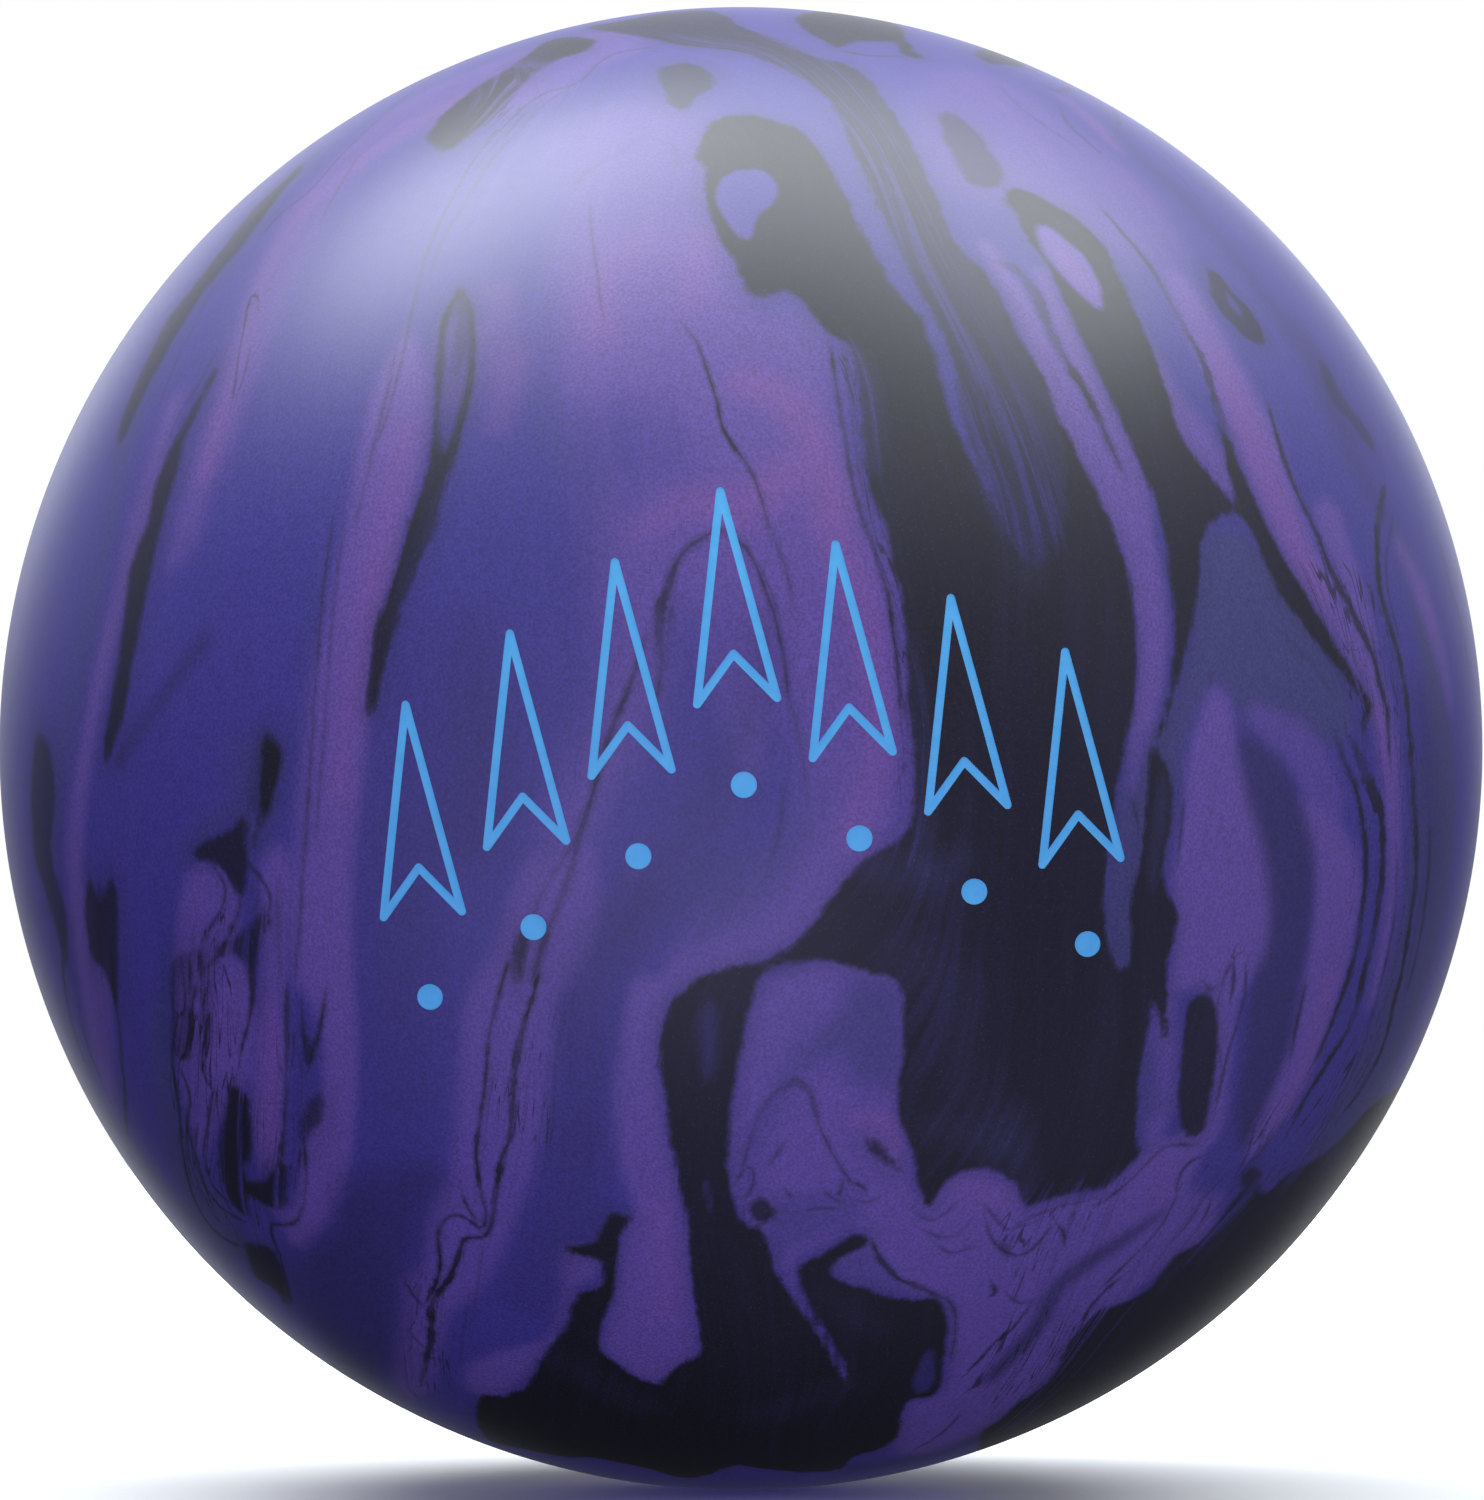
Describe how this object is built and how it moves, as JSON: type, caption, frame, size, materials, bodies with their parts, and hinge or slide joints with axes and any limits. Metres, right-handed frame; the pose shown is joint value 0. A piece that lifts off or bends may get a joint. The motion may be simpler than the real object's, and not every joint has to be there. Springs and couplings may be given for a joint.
{
  "type": "bowling ball",
  "caption": "Undrilled bowling ball: marbled purple and black coverstock shell over a filler core, a fluted weight block and a locator pin, with inked engraving.",
  "frame": {"origin": "centre of the ball", "axes": "+Z along the weight block's axis and out through the locator pin; -Y faces the engraved graphic; +X to the right of somebody looking at the graphic"},
  "size_m": [0.2172, 0.2172, 0.2172],
  "materials": {
    "coverstock": "sanded matte",
    "filler": "cast, matte",
    "dense_block": "cast, matte",
    "pin_plastic": "sanded matte",
    "engraving_ink": "dried paint, matte"
  },
  "bodies": {
    "root": {"coverstock_shell": "coverstock", "outer_core": "filler", "weight_block": "dense_block", "locator_pin": "pin_plastic", "arrow_graphic_ink": "engraving_ink", "dot_graphic_ink": "engraving_ink", "balance_mark_ink": "engraving_ink"}
  },
  "joints": []
}
